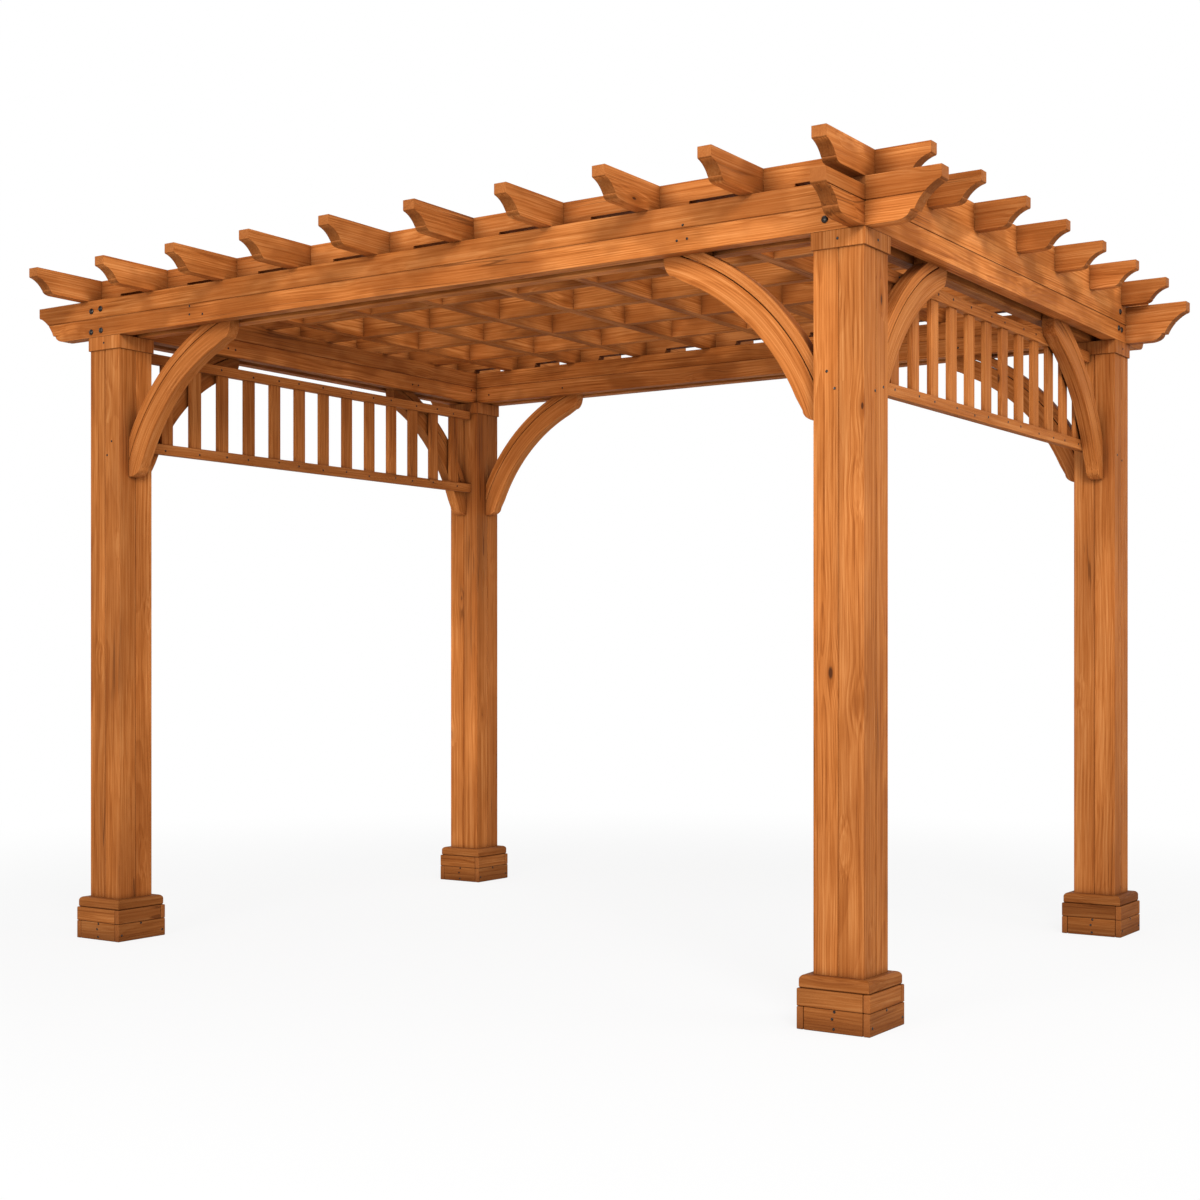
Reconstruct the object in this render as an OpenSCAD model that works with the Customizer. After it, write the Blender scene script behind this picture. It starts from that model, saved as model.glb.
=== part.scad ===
// Wooden pergola: four boxed posts, doubled beams with shaped tails, curved
// braces, two slatted side panels and a half-lapped grid of rafters and purlins.
// Origin on the ground, at the centre of the plan's outline. X runs along the long side,
// Y from front to back, Z up. Millimetres.

/* [Overall] */
// Distance between post centres along the long side
span_x = 3080; // [1800:10:4800]
// Distance between post centres along the short side
span_y = 2200; // [1500:10:3600]
// Clear height from the ground to the underside of the beams
head_height = 2286; // [1900:1:3000]

/* [Posts] */
// Width of each square post
post_w = 160; // [130:1:220]
// Width of the groove down the middle of each post face
post_groove_w = 4; // [3:0.5:16]
// Depth of the groove in each post face
post_groove_d = 3; // [1:0.5:12]
// Height of the collar band under the beams
collar_h = 52; // [30:1:120]
// How far the collar stands proud of the post
collar_proud = 6; // [2:0.5:14]

/* [Post bases] */
// Height of the boarded plinth round the foot of a post
plinth_h = 118; // [60:1:300]
// How far the plinth stands proud of the post
plinth_proud = 36; // [12:1:70]
// Height of the moulding on top of the plinth
moulding_h = 38; // [12:1:80]
// How far the moulding sets in from the plinth face
moulding_set_in = 5; // [2:0.5:20]
// Radius on the upper edge of the moulding
moulding_r = 14; // [3:1:20]

/* [Beams] */
// Height of the beam boards
beam_h = 140; // [100:1:240]
// Thickness of each beam board
beam_t = 50; // [35:1:60]
// Length of the front and back beams' left tails beyond the collars
tail_left = 284; // [160:1:400]
// Length of the front and back beams' right tails beyond the collars
tail_right = 232; // [160:1:400]
// How far the right beam's tails sit below its top
side_tail_drop = 26; // [0:1:40]
// Width of the joint groove along the beam faces
beam_groove_w = 4; // [2:0.5:10]
// Depth of the joint groove along the beam faces
beam_groove_d = 3; // [1:0.5:8]

/* [Braces] */
// How far each curved brace reaches from its corner
brace_reach = 535; // [400:5:800]
// Thickness of the braces
brace_t = 50; // [30:1:56]
// Width of the brace between its two arcs
brace_w = 105; // [60:1:150]
// Radius of the inner arc of a brace
brace_r = 740; // [500:5:1200]
// How far the brace tongue runs up between the beam boards
brace_tongue = 100; // [40:1:130]

/* [Rafters] */
// Number of rafters across the long side
rafter_count = 10; // [4:1:16]
// Depth of the rafters
rafter_h = 89; // [60:1:180]
// Thickness of the rafters
rafter_t = 46; // [30:1:60]
// Length of the rafter tails, and of the right beam's, beyond the beam faces
rafter_tail = 240; // [180:1:450]

/* [Purlins] */
// Number of purlins across the short side
purlin_count = 7; // [3:1:12]
// Thickness of the purlins
purlin_t = 40; // [25:1:60]
// Depth of the lap where a purlin crosses the rafters
purlin_lap = 48; // [20:1:60]
// Length of the purlin tails beyond the last rafter
purlin_tail = 172; // [120:1:320]
// Height of the slots under the first and last purlins, over the beams
purlin_slot_h = 28; // [6:1:36]
// Length of the full-depth tooth between a rafter and the next slot
purlin_tooth = 105; // [40:1:160]

/* [Side panels] */
// Height of the panels from the bottom rail's underside to the top rail's top
panel_h = 386; // [250:1:520]
// Gap between a panel and the underside of the beams
panel_gap = 42; // [4:1:80]
// Height of a panel's top rail
top_rail_h = 39; // [30:1:90]
// Height of a panel's bottom rail
bottom_rail_h = 40; // [30:1:90]
// Thickness of the rails
rail_t = 30; // [18:1:45]
// Number of slats in a panel
slat_count = 13; // [5:1:19]
// Width of a slat
slat_w = 58; // [40:1:90]
// Thickness of a slat
slat_t = 16; // [8:1:18]

/* [Fits] */
// Clearance each side where one piece is housed in another
fit = 0.3; // [0.1:0.1:1]

/* [Hidden] */

cut = 1;                                      // overshoot of a cutting body
plan_shift = (tail_left - tail_right) / 2;    // puts the origin at the middle of the beams
arc_steps = 10;                               // straight steps in one profile curve
hollow_bend = 40;                             // angle through which the hollow of a tail turns
beam_tail = [0.77, 0.58, 0.09];               // shape of the front and back beams' tails
side_tail = [0.56, 0.50, 0.02];               // shape of the right beam's tails
roof_tail = [0.66, 0.65, 0.02];               // shape of the rafter and purlin tails
half_x = span_x / 2;
half_y = span_y / 2;
collar_w = post_w + 2 * collar_proud;
face_x = half_x + collar_w / 2;               // outer face of the side beams
face_y = half_y + collar_w / 2;               // outer face of the front and back beams
board_gap = brace_t + 2 * fit;                // space between the two boards of a beam
mid_in = beam_t + board_gap / 2;              // middle of that space, in from the outer face
inner_in = beam_t + board_gap;                // inner board's outer side, in from the outer face
beam_top = head_height + beam_h;
roof_top = beam_top + rafter_h;
rafter_first = -face_x - rafter_t / 2;        // centre of the first rafter
rafter_step = 2 * face_x / (rafter_count - 1);
purlin_step = span_y / (purlin_count - 1);
slat_gap = (span_y - post_w - slat_count * slat_w) / (slat_count + 1);
panel_x = face_x - mid_in - brace_t / 2;      // panel's outer side, against the braces
rafter_cut = roof_top - purlin_lap;           // underside of the purlins at the laps

// Everything is laid out about the middle of the posts and moved by the shift
module centred() {
    translate([plan_shift, 0, 0])
        children();
}

// Points of a circular arc from angle a to angle b
function arc(c, r, a, b) =
    [for (i = [0:arc_steps]) c + r * [cos(a + (b - a) * i / arc_steps), sin(a + (b - a) * i / arc_steps)]];

// Points of a quarter ellipse about c with half axes rx and rz, from angle a to angle b
function bow(c, rx, rz, a, b) =
    [for (i = [0:arc_steps])
        let (t = a + (b - a) * i / arc_steps) c + [rx * cos(t), rz * sin(t)]];

// Points of a hollow arc from p down to q that turns through the angle bend
function hollow(p, q, bend) =
    let (d = q - p, a = atan2(d[0], -d[1]) + bend / 2, r = norm(d) / (2 * sin(bend / 2)))
    arc(p - r * [cos(a), sin(a)], r, a, a - bend);

// Shaped underside of a tail on a board of height h, its tip at s = 0 and z = 0 at the bottom:
// a nose with an eased corner, a hollow, a small step and a quarter round.
// The shape lists the nose's underside, the end of the hollow and the step, as shares of h
function tail_profile(shape, h) =
    let (corner = [h * 0.08, h * 0.06], nose_z = h * shape[0],
         hollow_s = h * shape[1], step_s = hollow_s + h * shape[2], step_z = h * 0.19, round_s = h * 0.36)
    concat([[0, h]],
           bow([corner[0], nose_z], corner[0], corner[1], 180, 270),
           hollow([corner[0], nose_z - corner[1]], [hollow_s, step_z], hollow_bend),
           bow([step_s + round_s, step_z], round_s, step_z, 180, 270));

// Side view of a board from a to b, with a tail at each end that has a shape
module board_side(a, b, h, tail_a, tail_b) {
    left = is_list(tail_a) ? [for (p = tail_profile(tail_a, h)) [a + p[0], p[1]]] : [[a, h], [a, 0]];
    right = is_list(tail_b) ? [for (p = tail_profile(tail_b, h)) [b - p[0], p[1]]] : [[b, h], [b, 0]];
    polygon(concat(left, [for (i = [len(right) - 1:-1:0]) right[i]]));
}

// A board along X, its y from y0 to y0 + t and its underside at z
module board_x(a, b, y0, t, z, h, tail_a = false, tail_b = false) {
    translate([0, y0 + t, z])
        rotate([90, 0, 0])
            linear_extrude(t)
                board_side(a, b, h, tail_a, tail_b);
}

// A board along Y, its x from x0 to x0 + t and its underside at z
module board_y(a, b, x0, t, z, h, tail_a = false, tail_b = false) {
    translate([x0, 0, z])
        rotate([90, 0, 90])
            linear_extrude(t)
                board_side(a, b, h, tail_a, tail_b);
}

// Joint groove along the middle of a beam board's visible face
module groove_x(a, b, y) {
    translate([a, y - beam_groove_d, head_height + (beam_h - beam_groove_w) / 2])
        cube([b - a, 2 * beam_groove_d, beam_groove_w]);
}

module groove_y(a, b, x) {
    translate([x - beam_groove_d, a, head_height + (beam_h - beam_groove_w) / 2])
        cube([2 * beam_groove_d, b - a, beam_groove_w]);
}

// Post with a groove down each face and a tenon that rises between the beam boards
module post(sx, sy) {
    tenon = board_gap - 2 * fit;
    color("peru") centred() {
        difference() {
            translate([sx * half_x - post_w / 2, sy * half_y - post_w / 2, 0])
                cube([post_w, post_w, head_height]);
            for (turn = [0:90:270])
                translate([sx * half_x, sy * half_y, 0])
                    rotate(turn)
                        translate([post_w / 2 - post_groove_d, -post_groove_w / 2, -cut])
                            cube([post_groove_d + cut, post_groove_w, head_height + 2 * cut]);
        }
        translate([sx * (face_x - mid_in) - tenon / 2, sy * (face_y - mid_in) - tenon / 2,
                   head_height - cut])
            cube([tenon, tenon, beam_h + cut]);
    }
}

// Collar band round the head of a post
module collar(sx, sy) {
    color("sandybrown") centred()
        translate([sx * half_x, sy * half_y, head_height - collar_h])
            linear_extrude(collar_h)
                difference() {
                    square(collar_w, center = true);
                    square(post_w, center = true);
                }
}

// Boarded plinth with a rounded moulding, round the foot of a post
module base(sx, sy) {
    plinth_w = post_w + 2 * plinth_proud;
    moulding_w = plinth_w - 2 * moulding_set_in;
    color("peru") centred()
        translate([sx * half_x, sy * half_y, 0])
            difference() {
                union() {
                    translate([-plinth_w / 2, -plinth_w / 2, 0])
                        cube([plinth_w, plinth_w, plinth_h]);
                    intersection() {
                        moulding_run(moulding_w);
                        rotate(90)
                            moulding_run(moulding_w);
                    }
                }
                translate([-post_w / 2, -post_w / 2, -cut])
                    cube([post_w, post_w, plinth_h + moulding_h + 2 * cut]);
            }
}

// Moulding section run along X, rounded on its two upper edges
module moulding_run(w) {
    r = min(moulding_r, moulding_h - cut);
    top = plinth_h + moulding_h;
    side = w / 2 - r;
    translate([w / 2, 0, 0])
        rotate([90, 0, -90])
            linear_extrude(w)
                polygon(concat([[-w / 2, plinth_h - cut], [w / 2, plinth_h - cut]],
                               arc([side, top - r], r, 0, 90),
                               arc([-side, top - r], r, 90, 180)));
}

// Outer board of the front or back beam, with tails at both ends and half laps
// over the right side beam
module beam_x_outer(sy) {
    a = -face_x - tail_left;
    b = face_x + tail_right;
    y0 = sy > 0 ? face_y - beam_t : -face_y;
    color("peru") centred()
        difference() {
            board_x(a, b, y0, beam_t, head_height, beam_h, beam_tail, beam_tail);
            translate([face_x - beam_t - fit, y0 - cut, head_height + beam_h / 2])
                cube([beam_t + 2 * fit, beam_t + 2 * cut, beam_h]);
            groove_x(a - cut, b + cut, sy * face_y);
        }
}

// Inner board of the front or back beam, between the inner boards of the sides
module beam_x_inner(sy) {
    reach = face_x - inner_in - beam_t;
    y = face_y - inner_in - beam_t;
    color("peru") centred()
        difference() {
            board_x(-reach, reach, sy > 0 ? y : -y - beam_t, beam_t, head_height, beam_h);
            groove_x(-reach - cut, reach + cut, sy * y);
        }
}

// Outer board of the left beam, butted between the front and back beams
module beam_left_outer() {
    reach = face_y - beam_t;
    color("peru") centred()
        difference() {
            board_y(-reach, reach, -face_x, beam_t, head_height, beam_h);
            groove_y(-reach - cut, reach + cut, -face_x);
        }
}

// Outer board of the right beam, half-lapped through the front and back beams,
// with tails at both ends
module beam_right_outer() {
    reach = face_y + rafter_tail;
    color("peru") centred()
        difference() {
            board_y(-reach, reach, face_x - beam_t, beam_t, head_height, beam_h, side_tail, side_tail);
            for (sy = [-1, 1])
                translate([face_x - beam_t - cut, sy * (face_y - beam_t / 2) - beam_t / 2 - fit,
                           head_height - cut])
                    cube([beam_t + 2 * cut, beam_t + 2 * fit, beam_h / 2 + cut]);
            for (sy = [-1, 1])
                translate([face_x - beam_t - cut, sy > 0 ? face_y : -reach - cut, beam_top - side_tail_drop])
                    cube([beam_t + 2 * cut, rafter_tail + cut, side_tail_drop + cut]);
            groove_y(-reach - cut, reach + cut, face_x);
        }
}

// Inner board of a side beam, between the outer boards of the front and back
module beam_y_inner(sx) {
    reach = face_y - beam_t;
    x = face_x - inner_in - beam_t;
    color("peru") centred()
        difference() {
            board_y(-reach, reach, sx > 0 ? x : -x - beam_t, beam_t, head_height, beam_h);
            groove_y(-reach - cut, reach + cut, sx * x);
        }
}

// Curved brace in the plane of u, away from the post face, and v, down from the beam.
// Two arcs about one centre on the diagonal, a shaped foot and head, and a tongue
module brace_side() {
    heel = brace_reach * 0.13;                              // where the inner arc ends, off the post
    run = brace_reach * 0.915;                              // and the same end, down from the beam
    c = run + sqrt(pow(brace_r, 2) / 2 - pow((run - heel) / 2, 2)) - (run - heel) / 2;
    outer_r = brace_r + brace_w;
    start = acos(c / outer_r);                              // outer arc, from the post to the beam
    inner = atan2(c - run, c - heel);                       // inner arc's end angle
    step = brace_reach * 0.02;
    foot = bow([0, run + step], heel - step, brace_reach - run - step, 0, 90);
    head = [for (i = [arc_steps:-1:0]) [foot[i][1], foot[i][0]]];
    polygon(concat(
        arc([c, c], outer_r, 180 + start, 270 - start),
        [[outer_end(c, outer_r), -brace_tongue], [brace_reach, -brace_tongue]],
        head,
        arc([c, c], brace_r, 270 - inner, 180 + inner),
        foot));
}

// Where the outer arc of a brace meets the beam
function outer_end(c, r) = c - sqrt(r * r - c * c);

// Brace along X from the post at corner sx, sy towards the middle of the beam
module brace_x(sx, sy) {
    color("chocolate") centred()
        translate([sx * (half_x - post_w / 2), sy * (face_y - mid_in), head_height])
            mirror([sx > 0 ? 1 : 0, 0, 0])
                rotate([-90, 0, 0])
                    translate([0, 0, -brace_t / 2])
                        linear_extrude(brace_t)
                            brace_side();
}

// Brace along Y from the post at corner sx, sy towards the middle of the beam
module brace_y(sx, sy) {
    color("chocolate") centred()
        translate([sx * (face_x - mid_in), sy * (half_y - post_w / 2), head_height])
            rotate(90)
                mirror([sy > 0 ? 1 : 0, 0, 0])
                    rotate([-90, 0, 0])
                        translate([0, 0, -brace_t / 2])
                            linear_extrude(brace_t)
                                brace_side();
}

// Slatted panel between the front and back posts of one side, inside the braces
module side_panel(sx) {
    top = head_height - panel_gap;
    bottom = top - panel_h;
    post_face = half_y - post_w / 2;
    collar_face = post_face - collar_proud;
    x0 = sx > 0 ? panel_x - rail_t : -panel_x;
    slat_x = x0 + (rail_t - slat_t) / 2;
    color("burlywood") centred()
        union() {
            translate([x0, -collar_face, top - top_rail_h])
                cube([rail_t, 2 * collar_face, top_rail_h]);
            translate([x0, -post_face, bottom])
                cube([rail_t, 2 * post_face, bottom_rail_h]);
            for (i = [0:slat_count - 1])
                translate([slat_x, -post_face + slat_gap + i * (slat_w + slat_gap), bottom + cut])
                    cube([slat_t, slat_w, panel_h - 2 * cut]);
        }
}

// Rafter i across the front and back beams, notched from above for the purlins.
// The first one lies outside the left beam, the last one flush with the right beam.
module rafter(i) {
    x0 = rafter_first + (i - 1) * rafter_step - rafter_t / 2;
    reach = face_y + rafter_tail;
    color("sienna") centred()
        difference() {
            board_y(-reach, reach, x0, rafter_t, beam_top, rafter_h, roof_tail, roof_tail);
            for (j = [0:purlin_count - 1])
                translate([x0 - cut, -half_y + j * purlin_step - purlin_t / 2 - fit, rafter_cut])
                    cube([rafter_t + 2 * cut, purlin_t + 2 * fit, purlin_lap + cut]);
        }
}

// Purlin j, notched from below over every rafter. The first and the last one, which lie over
// beams, also have a slot in each bay.
module purlin(j) {
    a = -face_x - rafter_t;
    b = face_x + purlin_tail;
    y0 = -half_y + (j - 1) * purlin_step - purlin_t / 2;
    bay = rafter_step - rafter_t;
    color("sandybrown") centred()
        difference() {
            board_x(a, b, y0, purlin_t, beam_top, rafter_h, false, roof_tail);
            for (i = [0:rafter_count - 1])
                translate([a + i * rafter_step - (i == 0 ? cut : fit), y0 - cut, beam_top - cut])
                    cube([rafter_t + fit + (i == 0 ? cut : fit), purlin_t + 2 * cut,
                          rafter_h - purlin_lap + cut]);
            if ((j == 1 || j == purlin_count) && bay > purlin_tooth + purlin_slot_h)
                for (i = [0:rafter_count - 2])
                    translate([a + rafter_t + i * rafter_step + purlin_tooth, y0 + purlin_t + cut, beam_top])
                        rotate([90, 0, 0])
                            linear_extrude(purlin_t + 2 * cut)
                                purlin_slot(bay - purlin_tooth);
        }
}

// Slot under a purlin, from the rounded end of a tooth to the next rafter
module purlin_slot(l) {
    h = purlin_slot_h;
    polygon(concat([[l + fit, h], [l + fit, -cut], [-h, -cut]], arc([-h, h], h, 270, 360)));
}

post(-1, -1);  // post_front_left
post(1, -1);  // post_front_right
post(-1, 1);  // post_back_left
post(1, 1);  // post_back_right
collar(-1, -1);  // collar_front_left
collar(1, -1);  // collar_front_right
collar(-1, 1);  // collar_back_left
collar(1, 1);  // collar_back_right
base(-1, -1);  // base_front_left
base(1, -1);  // base_front_right
base(-1, 1);  // base_back_left
base(1, 1);  // base_back_right
beam_x_outer(-1);  // beam_front_outer
beam_x_outer(1);  // beam_back_outer
beam_left_outer();
beam_right_outer();
beam_x_inner(-1);  // beam_front_inner
beam_x_inner(1);  // beam_back_inner
beam_y_inner(-1);  // beam_left_inner
beam_y_inner(1);  // beam_right_inner
brace_x(-1, -1);  // brace_front_left_x
brace_x(1, -1);  // brace_front_right_x
brace_x(-1, 1);  // brace_back_left_x
brace_x(1, 1);  // brace_back_right_x
brace_y(-1, -1);  // brace_front_left_y
brace_y(1, -1);  // brace_front_right_y
brace_y(-1, 1);  // brace_back_left_y
brace_y(1, 1);  // brace_back_right_y
side_panel(-1);  // side_panel_left
side_panel(1);  // side_panel_right
for (i = [1:rafter_count])
    rafter(i);
for (j = [1:purlin_count])
    purlin(j);
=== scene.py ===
import math
import random

import bmesh
import bpy
from mathutils import Matrix, Vector


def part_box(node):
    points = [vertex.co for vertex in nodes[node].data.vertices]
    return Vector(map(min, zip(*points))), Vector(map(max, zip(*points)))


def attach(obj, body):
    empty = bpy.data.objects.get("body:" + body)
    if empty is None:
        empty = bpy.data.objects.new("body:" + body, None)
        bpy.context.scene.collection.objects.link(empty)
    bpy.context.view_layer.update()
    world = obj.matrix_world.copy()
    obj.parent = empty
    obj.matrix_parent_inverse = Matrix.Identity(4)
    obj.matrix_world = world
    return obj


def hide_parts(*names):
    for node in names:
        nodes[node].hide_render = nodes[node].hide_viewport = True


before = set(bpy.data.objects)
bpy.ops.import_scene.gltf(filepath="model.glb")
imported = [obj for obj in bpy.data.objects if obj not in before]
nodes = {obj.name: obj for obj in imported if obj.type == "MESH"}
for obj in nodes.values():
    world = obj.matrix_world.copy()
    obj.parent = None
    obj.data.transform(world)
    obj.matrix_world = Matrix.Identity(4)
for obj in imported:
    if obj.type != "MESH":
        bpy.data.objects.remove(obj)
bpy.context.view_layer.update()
scene = bpy.context.scene
corners = ["front_left", "front_right", "back_left", "back_right"]
seeds = random.Random(7)


def boxOf(name):
    low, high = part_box(name)
    return low, high, (low + high) / 2


def signsOf(corner):
    return (1 if "right" in corner else -1), (1 if "back" in corner else -1)


# Shader building

class Wire:
    # an output socket; sums and products on it become Math nodes
    def __init__(self, finish, socket):
        self.finish = finish
        self.socket = socket

    def math(self, operation, *values):
        return self.finish.node("ShaderNodeMath", {"operation": operation}, dict(enumerate(values)))

    def __add__(self, other):
        return self.math("ADD", self, other)

    def __radd__(self, other):
        return self.math("ADD", other, self)

    def __sub__(self, other):
        return self.math("SUBTRACT", self, other)

    def __rsub__(self, other):
        return self.math("SUBTRACT", other, self)

    def __mul__(self, other):
        return self.math("MULTIPLY", self, other)

    def __rmul__(self, other):
        return self.math("MULTIPLY", other, self)

    def __truediv__(self, other):
        return self.math("DIVIDE", self, other)

    def __gt__(self, other):
        return self.math("GREATER_THAN", self, other)

    def __lt__(self, other):
        return self.math("LESS_THAN", self, other)

    def __abs__(self):
        return self.math("ABSOLUTE", self)


class Finish:
    # the nodes of a material or of the world; node() adds any node and gives its output
    def __init__(self, holder):
        self.holder = holder
        holder.use_nodes = True
        self.tree = holder.node_tree
        self.tree.nodes.clear()

    def node(self, kind, settings=None, sockets=None, output=0):
        made = self.tree.nodes.new(kind)
        for key, value in (settings or {}).items():
            if key == "stops":
                fillRamp(made.color_ramp, value)
            else:
                setattr(made, key, value)
        for key, value in (sockets or {}).items():
            if isinstance(value, Wire):
                self.tree.links.new(value.socket, made.inputs[key])
            else:
                made.inputs[key].default_value = value
        return Wire(self, made.outputs[output]) if made.outputs else None

    def mix(self, factor, first, second, blend="MIX"):
        settings = {"data_type": "RGBA", "blend_type": blend}
        return self.node("ShaderNodeMix", settings, {0: factor, 6: first, 7: second}, output=2)

    def vector(self, operation, first, second, output=0):
        return self.node("ShaderNodeVectorMath", {"operation": operation}, {0: first, 1: second}, output)

    def combine(self, x, y, z):
        return self.node("ShaderNodeCombineXYZ", None, {0: x, 1: y, 2: z})

    def split(self, vector):
        return [self.node("ShaderNodeSeparateXYZ", None, {0: vector}, output=i) for i in range(3)]

    def band(self, value, low, high, start=0.0, end=1.0):
        settings = {"interpolation_type": "SMOOTHSTEP"}
        return self.node("ShaderNodeMapRange", settings, {0: value, 1: low, 2: high, 3: start, 4: end})

    def noise(self, place, stretch, detail=2.0, output=0):
        sockets = {"Vector": self.vector("MULTIPLY", place, stretch), "Scale": 1.0, "Detail": detail}
        return self.node("ShaderNodeTexNoise", None, sockets, output)

    def principled(self, sockets):
        return self.node("ShaderNodeBsdfPrincipled", None, sockets)

    def close(self, shader, kind="ShaderNodeOutputMaterial"):
        self.node(kind, None, {"Surface": shader})
        return self.holder


def fillRamp(ramp, stops):
    while len(ramp.elements) > 1:
        ramp.elements.remove(ramp.elements[-1])
    ramp.elements[0].position, ramp.elements[0].color = stops[0]
    for place, colour in stops[1:]:
        ramp.elements.new(place).color = colour


# Wood, solid through each board: rings about a pith, streaks along the grain, knots, checks, and
# painted shade in the joints

wood = {
    "light": (0.69, 0.272, 0.080, 1),      # early growth
    "warm": (0.56, 0.188, 0.044, 1),
    "deep": (0.42, 0.122, 0.022, 1),
    "dark": (0.25, 0.064, 0.010, 1),       # late growth and streaks
    "red": (0.46, 0.118, 0.021, 1),        # warmer patches
    "knot": (0.060, 0.016, 0.004, 1),
    "checkAndShade": (0.085, 0.021, 0.004, 1),     # painted shade in the joints and corners, and the dark of the checks
    "cut": (0.33, 0.105, 0.026, 1),        # end grain
    "hollow": (0.150, 0.042, 0.008, 1),    # and the sawn curves, which take more stain, and darker still as painted shade
    "ringWidth": 0.0085,
    "pith": 0.26,                          # how far off the pith may lie
    "boardShade": 0.20,                    # difference in tone from board to board
    "knots": 0.50,                         # share of cells that hold one
    "cloudShade": 0.52,                         # painted shade: soft dark clouds at random places on the roof's timbers
    "shade": 0.90,
    "roofShade": 1.02,
    # painted shade: the purlins a little darker than the other roof timbers
    "purlinShade": 0.95,
    "shadeReach": 0.08,                    # painted shade: how near other wood must be to darken it
    # how dark the painted shade in the joints gets
    "shadeDepth": 0.75,
    "roughness": 0.66,
    "specular": 0.08,
    "bump": 0.4,
    "bumpHeight": 0.0014,
    # cells per metre in each pattern, along the grain and both ways across it
    "knotCells": (3.2, 8.0, 8.0),
    "wanderCells": (0.55, 3.2, 3.2),
    "waveCells": (1.9, 6.0, 6.0),
    "broadCells": (0.3, 19.0, 19.0),
    "fineCells": (0.9, 105.0, 105.0),
    "thinCells": (1.5, 250.0, 250.0),
    "fibreCells": (8.0, 600.0, 600.0),
    "patchCells": (1.3, 5.0, 5.0),
    "mottleCells": (7.0, 17.0, 17.0),
    "cloudCells": (4.5, 7.0, 7.0),
    "crackCells": (0.7, 34.0, 34.0),
    # how far rings and streaks are pushed off their line, in metres
    "wander": (0.0, 0.11, 0.11),
    "ringWaves": (0.0, 0.016, 0.016),
    "streakWaves": (0.0, 0.022, 0.022),
    # share of each pattern in the tone
    "broadTone": 0.7,
    "fineTone": 0.65,
    "thinTone": 1.05,
    "ringTone": 0.15,
    "fibreTone": 0.6,
    "mottleTone": 0.3,
}


def grainInCad(axis, halves=()):
    # places in a CAD board, along the grain first, a number that is its own for each lamination,
    # and how squarely the surface cuts the grain
    def read(f):
        place = f.node("ShaderNodeTexCoord", None, None, "Object")
        settings = {"attribute_type": "OBJECT", "attribute_name": "boardMiddle"}
        middle = f.node("ShaderNodeAttribute", settings, None, "Vector")
        settings = {"attribute_type": "OBJECT", "attribute_name": "boardSeed"}
        seed = f.node("ShaderNodeAttribute", settings, None, "Fac")
        parts = f.split(f.vector("SUBTRACT", place, middle))
        for step, half in zip((0.37, 0.61), halves):
            seed = seed + (parts[half] > 0.0) * step
        normal = f.node("ShaderNodeNewGeometry", None, None, "Normal")
        return [parts[(axis + i) % 3] for i in range(3)], seed, abs(f.split(normal)[axis])
    return read


def grainInBoards(f):
    # the same, from what addPrism stored
    place = f.node("ShaderNodeAttribute", {"attribute_name": "grain"}, None, "Vector")
    seed = f.node("ShaderNodeAttribute", {"attribute_name": "seed"}, None, "Fac")
    cutFace = f.node("ShaderNodeAttribute", {"attribute_name": "cutFace"}, None, "Fac")
    return f.split(place), seed, cutFace


def grainInArcs(f):
    # along the curve of a brace, whose stored places start from the centre of its arcs
    (across, down, side), seed, cutFace = grainInBoards(f)
    radius = f.vector("LENGTH", f.combine(across, down, 0.0), (0, 0, 0), "Value")
    along = down.math("ARCTAN2", down, across) * brace["innerRadius"]
    return [along, radius - brace["innerRadius"], side], seed, cutFace


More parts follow.
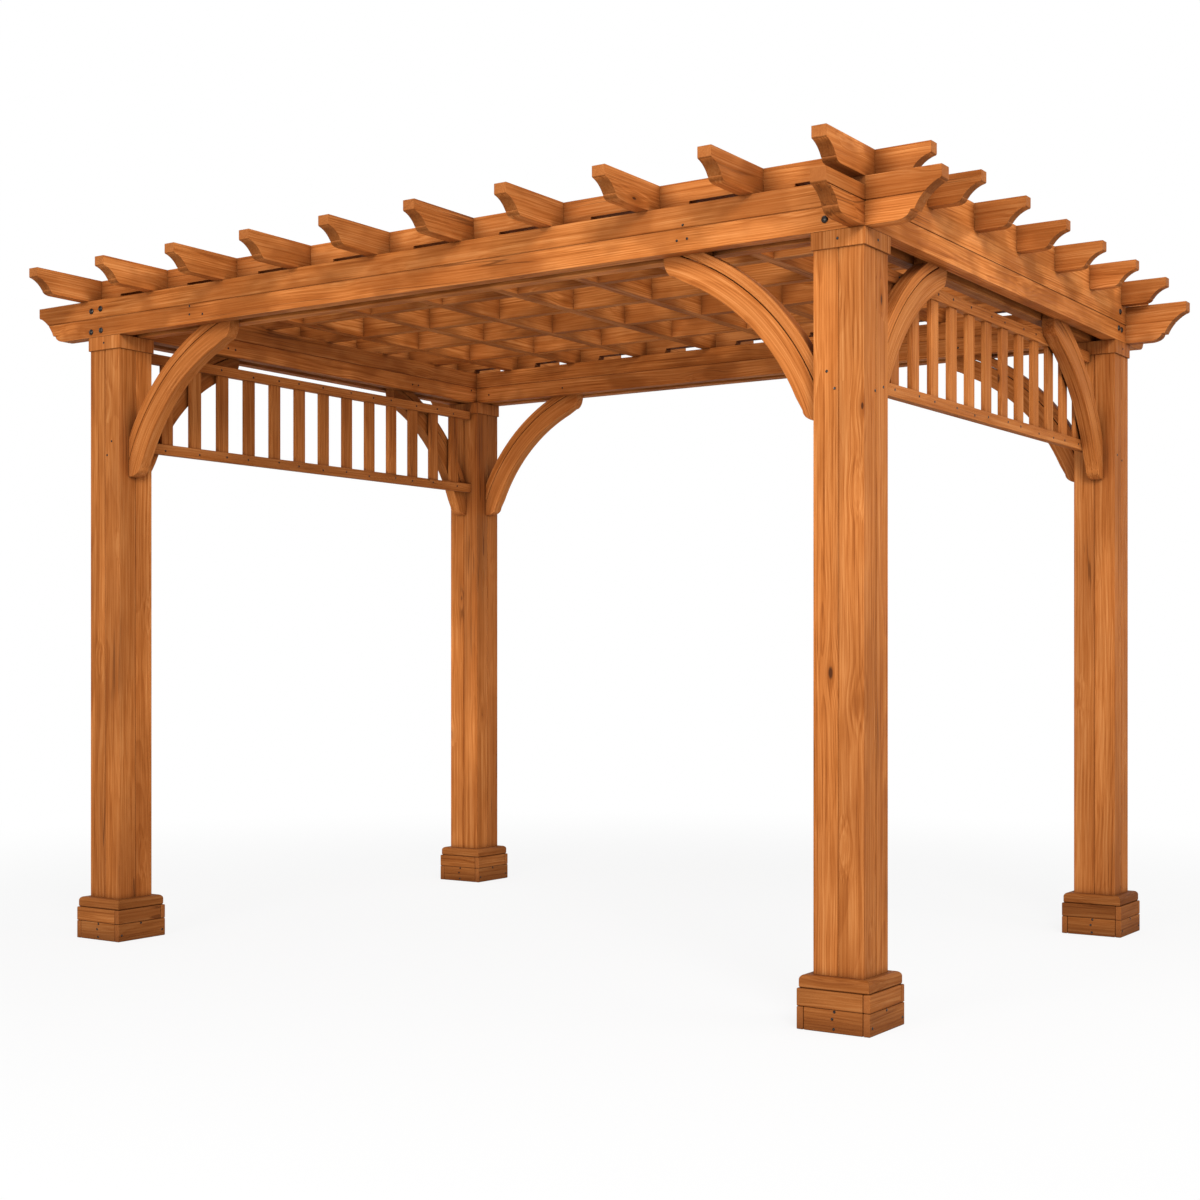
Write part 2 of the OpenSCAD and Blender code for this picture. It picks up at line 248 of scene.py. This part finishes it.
def woodFinish(name, grain, shade=wood["shade"], cloudShade=0.0):
    f = Finish(bpy.data.materials.new(name))
    (along, across, depth), seed, cutFace = grain(f)
    chance = f.node("ShaderNodeTexWhiteNoise", {"noise_dimensions": "1D"}, {"W": seed * 91.7}, "Color")
    first, second, third = f.split(chance)
    moved = f.vector("MULTIPLY", chance, (23.0, 17.0, 29.0))
    place = f.vector("ADD", f.combine(along, across, depth), moved)

    # knots, and the grain that flows round them
    scaled = f.vector("MULTIPLY", place, wood["knotCells"])
    cells = {"Vector": scaled, "Scale": 1.0}
    away = f.node("ShaderNodeTexVoronoi", None, cells)
    drawn, size, _ = f.split(f.node("ShaderNodeTexVoronoi", None, cells, "Color"))
    heart = f.node("ShaderNodeTexVoronoi", None, cells, "Position")
    present = drawn < wood["knots"]
    core = f.band(away / (size * 0.045 + 0.022), 0.6, 1.2, 1.0, 0.0) * present
    halo = f.band(away, 0.03, 0.17, 1.0, 0.0) * present
    push = f.band(away, 0.02, 0.42, 0.85, 0.0) * present
    shrink = (0.0, 1 / wood["knotCells"][1], 1 / wood["knotCells"][2])
    aside = f.vector("MULTIPLY", f.vector("SUBTRACT", scaled, heart), shrink)
    flowing = f.vector("SUBTRACT", place, f.vector("MULTIPLY", aside, push))

    # slow waves along the board
    middle = (0.5, 0.5, 0.5)
    wander = f.vector("SUBTRACT", f.noise(place, wood["wanderCells"], 2.0, "Color"), middle)
    waves = f.vector("SUBTRACT", f.noise(place, wood["waveCells"], 2.0, "Color"), middle)
    flowing = f.vector("ADD", flowing, f.vector("MULTIPLY", waves, wood["streakWaves"]))

    # growth rings about a pith that lies off the board
    pith = f.combine(0.0, (first - 0.5) * wood["pith"], (second - 0.5) * wood["pith"])
    section = f.vector("SUBTRACT", f.combine(0.0, across, depth), pith)
    section = f.vector("ADD", section, f.vector("MULTIPLY", wander, wood["wander"]))
    section = f.vector("ADD", section, f.vector("MULTIPLY", waves, wood["ringWaves"]))
    growth = (f.vector("LENGTH", section, (0, 0, 0), "Value") + push * 0.014) / wood["ringWidth"]
    phase = growth.math("FRACT", growth)
    late = f.band(phase, 0.2, 0.92) * f.band(phase, 0.93, 1.0, 1.0, 0.0)

    # streaks, patches, clouds and checks, from noises that lie about 0.5
    broad = f.noise(flowing, wood["broadCells"])
    fine = f.noise(flowing, wood["fineCells"])
    thin = f.noise(flowing, wood["thinCells"], 3.0)
    fibre = f.noise(place, wood["fibreCells"])
    patch = f.noise(place, wood["patchCells"])
    mottle = f.noise(place, wood["mottleCells"], 3.0)
    cloud = f.noise(place, wood["cloudCells"])
    crack = f.noise(flowing, wood["crackCells"], 1.0)
    check = f.band(abs(crack - 0.5), 0.006, 0.024, 1.0, 0.0) * f.band(patch, 0.58, 0.66)

    tone = 0.47 + (broad - 0.5) * wood["broadTone"] + (fine - 0.5) * wood["fineTone"]
    tone = tone + (thin - 0.5) * wood["thinTone"] + (late - 0.35) * wood["ringTone"]
    tone = tone + (fibre - 0.5) * wood["fibreTone"] + (mottle - 0.5) * wood["mottleTone"]
    stops = [(0.12, wood["light"]), (0.40, wood["warm"]), (0.66, wood["deep"]), (0.92, wood["dark"])]
    colour = f.node("ShaderNodeValToRGB", {"stops": stops}, {0: tone})
    colour = f.mix(f.band(patch, 0.45, 0.7) * 0.3 + first * 0.1, colour, wood["red"])
    bright = (third - 0.5) * wood["boardShade"] + (patch - 0.5) * -0.8 + shade
    colour = f.mix(1.0, colour, f.combine(bright, bright, bright), "MULTIPLY")
    # painted shade: soft dark clouds at random places, on the roof's timbers only
    colour = f.mix(f.band(cloud, 0.43, 0.63) * cloudShade, colour, wood["dark"])
    colour = f.mix(halo * 0.5, colour, wood["dark"])
    colour = f.mix(check * 0.6, colour, wood["checkAndShade"])
    colour = f.mix(core * 0.92, colour, wood["knot"])
    # the end grain in its own colour; the sawn curves darker, partly from more stain in the cross grain,
    # partly painted shade
    sawnAndShaded = f.mix(f.band(cutFace, 0.86, 0.97), wood["hollow"], wood["cut"])
    colour = f.mix(f.band(cutFace, 0.2, 0.5) * 0.65, colour, sawnAndShaded)
    # painted shade: darker where other wood is near, in joints, corners, recesses and under parts
    reach = {"Distance": wood["shadeReach"]}
    exposed = f.node("ShaderNodeAmbientOcclusion", {"samples": 6}, reach, "AO")
    colour = f.mix(f.band(exposed, 0.25, 0.95, wood["shadeDepth"], 0.0), colour, wood["checkAndShade"])

    height = late * 0.2 + fine * 0.7 + thin * 0.4 + fibre * 0.5 - check * 1.6 - core * 0.8
    relief = {"Height": height, "Strength": wood["bump"], "Distance": wood["bumpHeight"]}
    bump = f.node("ShaderNodeBump", None, relief)
    rough = (fine - 0.5) * 0.35 + (late * -0.08) + core * -0.12 + wood["roughness"]
    return f.close(f.principled({"Base Color": colour, "Roughness": rough, "Normal": bump,
                                 "Specular IOR Level": wood["specular"]}))


# CAD nodes that show: eased edges and wood

cadWood = {
    "ease": {"post": 0.0014, "collar": 0.002, "beam": 0.0014, "rafter": 0.0008, "purlin": 0.0008},
    "segments": 2,
    "sharpest": math.radians(35),    # edges that turn more than this are eased
    "flattest": math.radians(0.5),
    "weld": 0.00005,
    "normalWeight": 80,
}


def weighNormals(piece):
    piece.modifiers.new("normals", "WEIGHTED_NORMAL").weight = cadWood["normalWeight"]


def easeNode(node, width):
    weld = node.modifiers.new("weld", "WELD")
    weld.merge_threshold = cadWood["weld"]
    flat = node.modifiers.new("flat", "DECIMATE")
    flat.decimate_type = "DISSOLVE"
    flat.angle_limit = cadWood["flattest"]
    ease = node.modifiers.new("ease", "BEVEL")
    ease.width = width
    ease.segments = cadWood["segments"]
    ease.limit_method = "ANGLE"
    ease.angle_limit = cadWood["sharpest"]
    ease.miter_outer = "MITER_ARC"
    weighNormals(node)


def finishNode(name, material):
    node = nodes[name]
    node["boardMiddle"] = list(boxOf(name)[2])
    node["boardSeed"] = seeds.uniform(0, 50)
    easeNode(node, cadWood["ease"][name.split("_")[0]])
    node.data.materials.clear()
    node.data.materials.append(material)


# Own boards

class Boards:
    # many eased boards in one mesh, each with its own grain
    def __init__(self):
        self.points = []
        self.faces = []
        self.grain = []
        self.seeds = []
        self.cutFaces = []

    def addPrism(self, outline, low, high, put, grain, axis, ease):
        # an outline drawn out from low to high; put gives a point its place, grain its place in the tree
        shape = bmesh.new()
        rings = [[shape.verts.new(put(a, b, c)) for a, b in outline] for c in (low, high)]
        shape.faces.new(rings[0][::-1])
        shape.faces.new(rings[1])
        for i in range(len(outline)):
            j = (i + 1) % len(outline)
            shape.faces.new([rings[0][i], rings[0][j], rings[1][j], rings[1][i]])
        bmesh.ops.recalc_face_normals(shape, faces=shape.faces)
        sharp = [edge for edge in shape.edges if edge.calc_face_angle(0) > cadWood["sharpest"]]
        bmesh.ops.bevel(shape, geom=sharp, offset=ease, segments=cadWood["segments"], profile=0.5,
                        affect="EDGES", clamp_overlap=True)
        start = len(self.points)
        seed = seeds.uniform(0, 50)
        shape.verts.index_update()
        shape.normal_update()
        for vertex in shape.verts:
            self.points.append(vertex.co[:])
            self.grain.append(grain(vertex.co))
            self.seeds.append(seed)
        for face in shape.faces:
            self.faces.append([start + vertex.index for vertex in face.verts])
            self.cutFaces.append(1.0 if axis is not None and abs(face.normal.dot(axis)) > 0.8 else 0.0)
        shape.free()

    def addBoard(self, low, high, ease, axis):
        # a straight board between two corners, its grain along X, Y or Z
        middle = (low + high) / 2
        along = Vector([1.0 if i == axis else 0.0 for i in range(3)])
        outline = [(low.x, low.y), (high.x, low.y), (high.x, high.y), (low.x, high.y)]
        self.addPrism(outline, low.z, high.z, lambda a, b, c: Vector((a, b, c)),
                      lambda p: [(p - middle)[(axis + i) % 3] for i in range(3)], along, ease)

    def build(self, name, material, slot, *replaced):
        mesh = bpy.data.meshes.new(name)
        mesh.from_pydata(self.points, [], self.faces)
        flat = [value for point in self.grain for value in point]
        mesh.attributes.new("grain", "FLOAT_VECTOR", "POINT").data.foreach_set("vector", flat)
        mesh.attributes.new("seed", "FLOAT", "POINT").data.foreach_set("value", self.seeds)
        mesh.attributes.new("cutFace", "FLOAT", "FACE").data.foreach_set("value", self.cutFaces)
        return placePiece(name, mesh, material, slot, *replaced)


def placePiece(name, mesh, material, slot, *replaced):
    mesh.polygons.foreach_set("use_smooth", [True] * len(mesh.polygons))
    mesh.materials.append(material)
    piece = bpy.data.objects.new(name, mesh)
    scene.collection.objects.link(piece)
    weighNormals(piece)
    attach(piece, "root")
    if replaced:
        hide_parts(*replaced)
    return piece


# Plinths: two courses of boards, then a mitred moulding

plinth = {
    "board": 0.022,
    "upperCourse": 0.052,
    "moulding": 0.038,
    "setIn": 0.005,
    "roundover": 0.014,
    "underRound": 0.006,
    "gap": 0.0006,      # between boards
    "shade": 0.55,
    "ease": 0.003,
    "mouldingEase": 0.0012,
}


def quarterRound(x, z, radius, start=0.0, steps=6):
    turns = [start + i / steps * math.pi / 2 for i in range(steps + 1)]
    return [(x + radius * math.cos(t), z + radius * math.sin(t)) for t in turns]


def buildPlinth(corner, material):
    low, high, middle = boxOf("base_" + corner)
    half = (high.x - low.x) / 2
    post = boxOf("post_" + corner)
    postHalf = (post[1].x - post[0].x) / 2
    top = high.z - plinth["moulding"]
    joint = top - plinth["upperCourse"]
    thick = plinth["board"]
    gap = plinth["gap"]
    boards = Boards()
    for turn in range(4):
        face = Matrix.Translation((middle.x, middle.y, 0)) @ Matrix.Rotation(turn * math.pi / 2, 4, "Z")
        back = face.inverted()
        along = (face.to_3x3() @ Vector((1, 0, 0))).normalized()

        def put(a, b, c):
            return face @ Vector((a, b, c))

        def grain(p):
            return (back @ p)[:]

        # upper course: each board covers the end of the one before it
        rows = [(-half, half - thick - gap, joint + gap, top)]
        # lower course: the side boards run through
        reach = half if turn % 2 else half - thick - gap
        rows.append((-reach, reach, 0.0, joint))
        for start, end, foot, head in rows:
            outline = [(start, -half), (end, -half), (end, thick - half), (start, thick - half)]
            boards.addPrism(outline, foot, head, put, grain, along, plinth["ease"])

        out = half - plinth["setIn"]
        below = plinth["underRound"]
        above = plinth["roundover"]
        edge = quarterRound(out - below, top + below, below, -math.pi / 2)
        edge += quarterRound(out - above, high.z - above, above)
        section = [(postHalf, top)] + edge + [(postHalf, high.z)]

        def mitre(a, b, c):
            return face @ Vector((c * a, -a, b))

        boards.addPrism(section, -1, 1, mitre, grain, None, plinth["mouldingEase"])
    boards.build("plinth_" + corner, material, "base_wood", "base_" + corner)


# Side panels: two rails and a row of slats

panel = {
    "topRail": 0.039,
    "topRailInset": 0.006,   # its ends stop at the collars
    "bottomRail": 0.040,
    "slats": 13,
    "slatWidth": 0.058,
    "slatThickness": 0.016,
    "housing": 0.012,   # how far a slat runs into a rail
    "ease": 0.002,
}


def slatPlaces(name):
    low, high, _ = boxOf(name)
    gap = (high.y - low.y - panel["slats"] * panel["slatWidth"]) / (panel["slats"] + 1)
    return [low.y + gap + i * (panel["slatWidth"] + gap) for i in range(panel["slats"])]


def buildPanel(side, material):
    name = "side_panel_" + side
    low, high, middle = boxOf(name)
    shoulder = high.z - panel["topRail"]
    ledge = low.z + panel["bottomRail"]
    half = panel["slatThickness"] / 2
    boards = Boards()
    inset = Vector((0, panel["topRailInset"], 0))
    boards.addBoard(Vector((low.x, low.y, shoulder)) + inset, high - inset, panel["ease"], 1)
    boards.addBoard(low, Vector((high.x, high.y, ledge)), panel["ease"], 1)
    for y in slatPlaces(name):
        boards.addBoard(Vector((middle.x - half, y, ledge - panel["housing"])),
                        Vector((middle.x + half, y + panel["slatWidth"], shoulder + panel["housing"])),
                        panel["ease"], 2)
    boards.build("panel_boards_" + side, material, "panel_wood", name)


# Braces: two curved laminations about one centre, with shaped ends and a tongue in the beam

brace = {
    "innerRadius": 0.74,
    "width": 0.105,
    "jointShare": 0.68,    # where the laminations meet, across the width
    "jointGap": 0.0012,
    # the shaped ends, as shares of the reach: where they begin and stop, and their small step
    "heelShare": 0.13,
    "runShare": 0.915,
    "stepShare": 0.02,
    "steps": 20,
    "ease": 0.003,
}


def arcPoints(centre, radius, start, end):
    turns = [start + (end - start) * i / brace["steps"] for i in range(brace["steps"] + 1)]
    return [(centre + radius * math.cos(t), centre + radius * math.sin(t)) for t in turns]


def braceOutlines(reach, tongue):
    # u runs off the post, v down from the beam
    inner = brace["innerRadius"]
    outer = inner + brace["width"]
    joint = inner + brace["width"] * brace["jointShare"]
    heel = reach * brace["heelShare"]
    run = reach * brace["runShare"]
    step = reach * brace["stepShare"]
    centre = run + math.sqrt(inner ** 2 / 2 - ((run - heel) / 2) ** 2) - (run - heel) / 2
    quarter = [i / brace["steps"] * math.pi / 2 for i in range(brace["steps"] + 1)]
    wide = heel - step
    deep = reach - run - step
    foot = [(wide * math.cos(t), run + step + deep * math.sin(t)) for t in quarter]
    head = [(v, u) for u, v in reversed(foot)]

    def fullArc(radius):
        bend = math.acos(centre / radius)
        return arcPoints(centre, radius, math.pi + bend, 1.5 * math.pi - bend)

    back = fullArc(outer)
    outside = fullArc(joint + brace["jointGap"])
    inside = fullArc(joint - brace["jointGap"])
    bend = math.atan2(centre - run, centre - heel)
    hollow = arcPoints(centre, inner, 1.5 * math.pi - bend, math.pi + bend)
    outerStrip = back + [(back[-1][0], -tongue), (outside[-1][0], -tongue)] + outside[::-1]
    innerStrip = inside + [(inside[-1][0], -tongue), (reach, -tongue)] + head + hollow[1:-1] + foot
    return centre, [outerStrip, innerStrip]


def buildBrace(corner, axis, material):
    name = f"brace_{corner}_{'xy'[axis]}"
    low, high, middle = boxOf(name)
    reach = high[axis] - low[axis]
    tongue = high.z - low.z - reach
    sign = signsOf(corner)[axis]
    start = high[axis] if sign > 0 else low[axis]
    beamFoot = high.z - tongue
    side = 1 - axis
    centre, outlines = braceOutlines(reach, tongue)

    def put(a, b, c):
        place = Vector((0, 0, beamFoot - b))
        place[axis] = start - sign * a
        place[side] = c
        return place

    def grain(p):
        return [abs(p[axis] - start) - centre, beamFoot - p.z - centre, p[side] - middle[side]]

    boards = Boards()
    for outline in outlines:
        boards.addPrism(outline, low[side], high[side], put, grain, None, brace["ease"])
    boards.build(f"brace_boards_{corner}_{'xy'[axis]}", material, "brace_wood", name)


# Fixings: domed bolt heads and small screws, one mesh of each

fixings = {
    "boltRadius": 0.011,
    "boltHeight": 0.0055,
    "screwRadius": 0.0042,
    "screwHeight": 0.0009,
    "sunk": 0.001,         # how far a head starts inside the wood
    "sides": 20,
    "colour": (0.022, 0.018, 0.016, 1),
    "wear": (0.11, 0.085, 0.07, 1),
    # places along a face and above the ground
    "beamBolts": [(-1.582, 2.386), (-1.532, 2.391), (-1.584, 2.307), (-1.529, 2.309), (1.526, 2.319)],
    "beamScrews": [(1.051, 2.366), (1.030, 2.321), (1.066, 2.323), (-1.053, 2.350), (-1.053, 2.319),
                   (-0.986, 2.314)],
    "sideBolts": [(1.066, 2.398), (1.050, 2.333), (1.084, 2.331)],
    "innerScrewsX": [(-0.949, 2.317), (-1.376, 2.319), (1.001, 2.317), (1.428, 2.319)],
    "innerScrewsY": [(0.559, 2.315), (0.600, 2.316), (0.995, 2.341), (-0.559, 2.315), (-0.600, 2.316),
                     (-0.995, 2.341)],
    # from the middle of a post's face
    "postScrewsX": [(-0.037, 1.885), (-0.012, 1.834)],
    "postScrewsY": [(-0.007, 1.829), (0.049, 1.846)],
    "collarScrews": [(0.0, 2.260)],
    "plinthNailsX": [(0.005, 0.061), (-0.002, 0.040), (0.003, 0.012)],
    "plinthNailsY": [(-0.006, 0.061), (-0.100, 0.024), (0.100, 0.024)],
    # from the middle of a slat, and how far they stray up or down
    "railScrews": (-0.017, 0.013),
    "railStray": 0.006,
}


class Heads:
    # round heads turned about their axes
    def __init__(self):
        self.points = []
        self.faces = []

    def add(self, place, normal, profile):
        turn = normal.to_track_quat("Z", "Y").to_matrix()
        start = len(self.points)
        sides = fixings["sides"]
        for radius, height in profile:
            for i in range(sides):
                t = 2 * math.pi * i / sides
                rim = Vector((radius * math.cos(t), radius * math.sin(t), height))
                self.points.append(place + turn @ rim)
        for ring in range(len(profile) - 1):
            for i in range(sides):
                j = (i + 1) % sides
                lower = start + ring * sides
                upper = lower + sides
                self.faces.append([lower + i, lower + j, upper + j, upper + i])
        last = start + (len(profile) - 1) * sides
        self.faces.append([last + i for i in range(sides)])
        self.faces.append([start + i for i in reversed(range(sides))])

    def bolt(self, place, normal):
        r = fixings["boltRadius"]
        h = fixings["boltHeight"]
        arch = [(r * math.cos(t), 0.0006 + h * math.sin(t)) for t in (0.0, 0.35, 0.7, 1.05, 1.35, 1.52)]
        self.add(place, normal, [(r, -fixings["sunk"])] + arch)

    def screw(self, place, normal):
        r = fixings["screwRadius"]
        h = fixings["screwHeight"]
        dish = [(r, h * 0.4), (r * 0.85, h), (r * 0.5, h), (r * 0.36, h * 0.1)]
        self.add(place, normal, [(r, -fixings["sunk"])] + dish)

    def build(self, name, material):
        mesh = bpy.data.meshes.new(name)
        mesh.from_pydata([p[:] for p in self.points], [], self.faces)
        return placePiece(name, mesh, material, "fixings")


def metalFinish():
    f = Finish(bpy.data.materials.new("blackenedSteel"))
    place = f.node("ShaderNodeTexCoord", None, None, "Object")
    spots = f.noise(place, (260.0, 260.0, 260.0), 3.0)
    worn = f.band(spots, 0.52, 0.70)
    colour = f.mix(worn, fixings["colour"], fixings["wear"])
    bump = f.node("ShaderNodeBump", None, {"Height": spots, "Strength": 0.3, "Distance": 0.0006})
    return f.close(f.principled({"Base Color": colour, "Metallic": 0.7, "Roughness": 0.16 + spots * 0.2,
                                 "Normal": bump}))


facing = {
    "front": Vector((0, -1, 0)),
    "back": Vector((0, 1, 0)),
    "right": Vector((1, 0, 0)),
    "left": Vector((-1, 0, 0)),
}


def faceSpot(name, side, along, height):
    # a point on one side of a node's box
    low, high, _ = boxOf(name)
    if side in ("front", "back"):
        return Vector((along, low.y if side == "front" else high.y, height))
    return Vector((low.x if side == "left" else high.x, along, height))


def placeHeads(add, name, side, places, middle=0.0, sign=1):
    for along, height in fixings[places]:
        add(faceSpot(name, side, middle + sign * along, height), facing[side])


def placeFixings(material):
    bolts = Heads()
    screws = Heads()
    for side in ("front", "back"):
        placeHeads(bolts.bolt, f"beam_{side}_outer", side, "beamBolts")
        placeHeads(screws.screw, f"beam_{side}_outer", side, "beamScrews")
    placeHeads(bolts.bolt, "beam_right_outer", "right", "sideBolts")
    placeHeads(screws.screw, "beam_front_inner", "back", "innerScrewsX")
    placeHeads(screws.screw, "beam_back_inner", "front", "innerScrewsX")
    placeHeads(screws.screw, "beam_left_inner", "right", "innerScrewsY")
    placeHeads(screws.screw, "beam_right_inner", "left", "innerScrewsY")
    for corner in corners:
        signX, signY = signsOf(corner)
        middle = boxOf("post_" + corner)[2]
        front = "back" if signY > 0 else "front"
        flank = "right" if signX > 0 else "left"
        placeHeads(screws.screw, "post_" + corner, front, "postScrewsX", middle.x, signX)
        placeHeads(screws.screw, "post_" + corner, flank, "postScrewsY", middle.y, -signY)
        placeHeads(screws.screw, "collar_" + corner, front, "collarScrews", middle.x)
        placeHeads(screws.screw, "collar_" + corner, flank, "collarScrews", middle.y)
        for side in facing:
            way = "X" if side in ("front", "back") else "Y"
            centre = middle.x if way == "X" else middle.y
            placeHeads(screws.screw, "base_" + corner, side, "plinthNails" + way, centre)
    stray = fixings["railStray"]
    for name in ("side_panel_left", "side_panel_right"):
        low, high, _ = boxOf(name)
        for y in slatPlaces(name):
            for z in (low.z + panel["bottomRail"] / 2, high.z - panel["topRail"] / 2):
                for side in ("left", "right"):
                    along = y + panel["slatWidth"] / 2 + seeds.choice(fixings["railScrews"])
                    height = z + seeds.uniform(-stray, stray)
                    screws.screw(faceSpot(name, side, along, height), facing[side])
    bolts.build("bolt_heads", material)
    screws.build("screw_heads", material)


# Floor, light and camera

studio = {
    "world": 0.44,
    "floorRadius": 14.0,
    "floor": (0.86, 0.86, 0.86, 1),
    "bounce": (0.60, 0.60, 0.60, 1),    # the floor as everything but the camera meets it
    "fade": (2.0, 6.0),                 # where it starts and ends turning white
    # each lamp: place, aim, size, power and spread in degrees
    "lamps": {
        "key": ((6.5, -7.0, 6.0), (0.3, 0, 1.8), 3.5, 540.0, 180),
        "sideFill": ((4.2, -0.2, 1.8), (1.6, 0, 1.7), 2.5, 31.0, 180),
        "frontFill": ((0.5, -7.6, 1.9), (-0.4, 0, 1.7), 3.0, 208.0, 180),
        "innerFill": ((-0.35, -0.95, 0.9), (-1.55, 1.1, 1.05), 1.0, 5.0, 65),
    },
}


def buildFloor():
    mesh = bpy.data.meshes.new("floor")
    shape = bmesh.new()
    bmesh.ops.create_circle(shape, cap_ends=True, radius=studio["floorRadius"], segments=96)
    shape.to_mesh(mesh)
    shape.free()
    floor = bpy.data.objects.new("floor", mesh)
    scene.collection.objects.link(floor)
    f = Finish(bpy.data.materials.new("paleFloor"))
    place = f.node("ShaderNodeTexCoord", None, None, "Object")
    away = f.vector("LENGTH", place, (0, 0, 0), "Value")
    ray = f.node("ShaderNodeLightPath", None, None, "Is Camera Ray")
    diffuse = f.node("ShaderNodeBsdfDiffuse", None, {"Color": studio["floor"]})
    dim = f.node("ShaderNodeBsdfDiffuse", None, {"Color": studio["bounce"]})
    white = f.node("ShaderNodeEmission", None, {"Color": (1, 1, 1, 1), "Strength": 1.0})
    fade = f.band(away, *studio["fade"], 0.86, 1.0)
    seen = f.node("ShaderNodeMixShader", None, {0: fade, 1: diffuse, 2: white})
    mesh.materials.append(f.close(f.node("ShaderNodeMixShader", None, {0: ray, 1: dim, 2: seen})))


def buildWorld():
    # white to the camera and in reflections, dimmer as a light
    f = Finish(bpy.data.worlds.new("studio"))
    straight = f.node("ShaderNodeLightPath", None, None, "Is Camera Ray")
    through = f.node("ShaderNodeLightPath", None, None, "Is Transmission Ray")
    glossy = f.node("ShaderNodeLightPath", None, None, "Is Glossy Ray")
    seen = straight.math("MAXIMUM", straight, through)
    shiny = seen.math("MAXIMUM", seen, glossy)
    strength = f.node("ShaderNodeMapRange", None, {"Value": shiny, "To Min": studio["world"]})
    light = f.node("ShaderNodeBackground", None, {"Color": (1, 1, 1, 1), "Strength": strength})
    scene.world = f.close(light, "ShaderNodeOutputWorld")


def addLamp(name, place, aim, size, power, spread):
    lamp = bpy.data.lights.new(name, "AREA")
    lamp.shape = "DISK"
    lamp.size = size
    lamp.energy = power
    lamp.spread = math.radians(spread)
    holder = bpy.data.objects.new(name, lamp)
    holder.location = place
    holder.rotation_euler = (Vector(aim) - Vector(place)).to_track_quat("-Z", "Y").to_euler()
    holder.visible_camera = False
    scene.collection.objects.link(holder)


camera = {
    "place": (3.8905, -5.865, 1.062),
    "turn": 33.854,      # degrees to the left
    "lens": 54.57,
    "rise": 0.049,
}


def buildCamera():
    data = bpy.data.cameras.new("camera")
    data.lens = camera["lens"]
    data.shift_y = camera["rise"]
    holder = bpy.data.objects.new("camera", data)
    holder.location = camera["place"]
    holder.rotation_euler = (math.pi / 2, 0, math.radians(camera["turn"]))
    scene.collection.objects.link(holder)
    scene.camera = holder
    scene.view_settings.view_transform = "Standard"


# Put together

print("wood")
upright = woodFinish("woodUpright", grainInCad(2, (0, 1)))
beamX = woodFinish("woodBeamX", grainInCad(0, (2,)), wood["roofShade"], wood["cloudShade"])
beamY = woodFinish("woodBeamY", grainInCad(1, (2,)), wood["roofShade"], wood["cloudShade"])
boardX = woodFinish("woodAlongX", grainInCad(0), wood["purlinShade"], wood["cloudShade"])
boardY = woodFinish("woodAlongY", grainInCad(1), wood["roofShade"], wood["cloudShade"])
boardWood = woodFinish("woodBoards", grainInBoards)
plinthWood = woodFinish("woodPlinth", grainInBoards, plinth["shade"])
arcWood = woodFinish("woodArcs", grainInArcs)
for name in sorted(nodes):
    kind = name.split("_")[0]
    if kind in ("post", "collar"):
        finishNode(name, upright)
    elif kind == "beam":
        finishNode(name, beamX if "front" in name or "back" in name else beamY)
    elif kind == "purlin":
        finishNode(name, boardX)
    elif kind == "rafter":
        finishNode(name, boardY)

print("plinths, panels and braces")
for corner in corners:
    buildPlinth(corner, plinthWood)
    buildBrace(corner, 0, arcWood)
    buildBrace(corner, 1, arcWood)
for side in ("left", "right"):
    buildPanel(side, boardWood)

print("fixings")
placeFixings(metalFinish())

print("studio")
buildFloor()
buildWorld()
for name, values in studio["lamps"].items():
    addLamp(name, *values)
buildCamera()
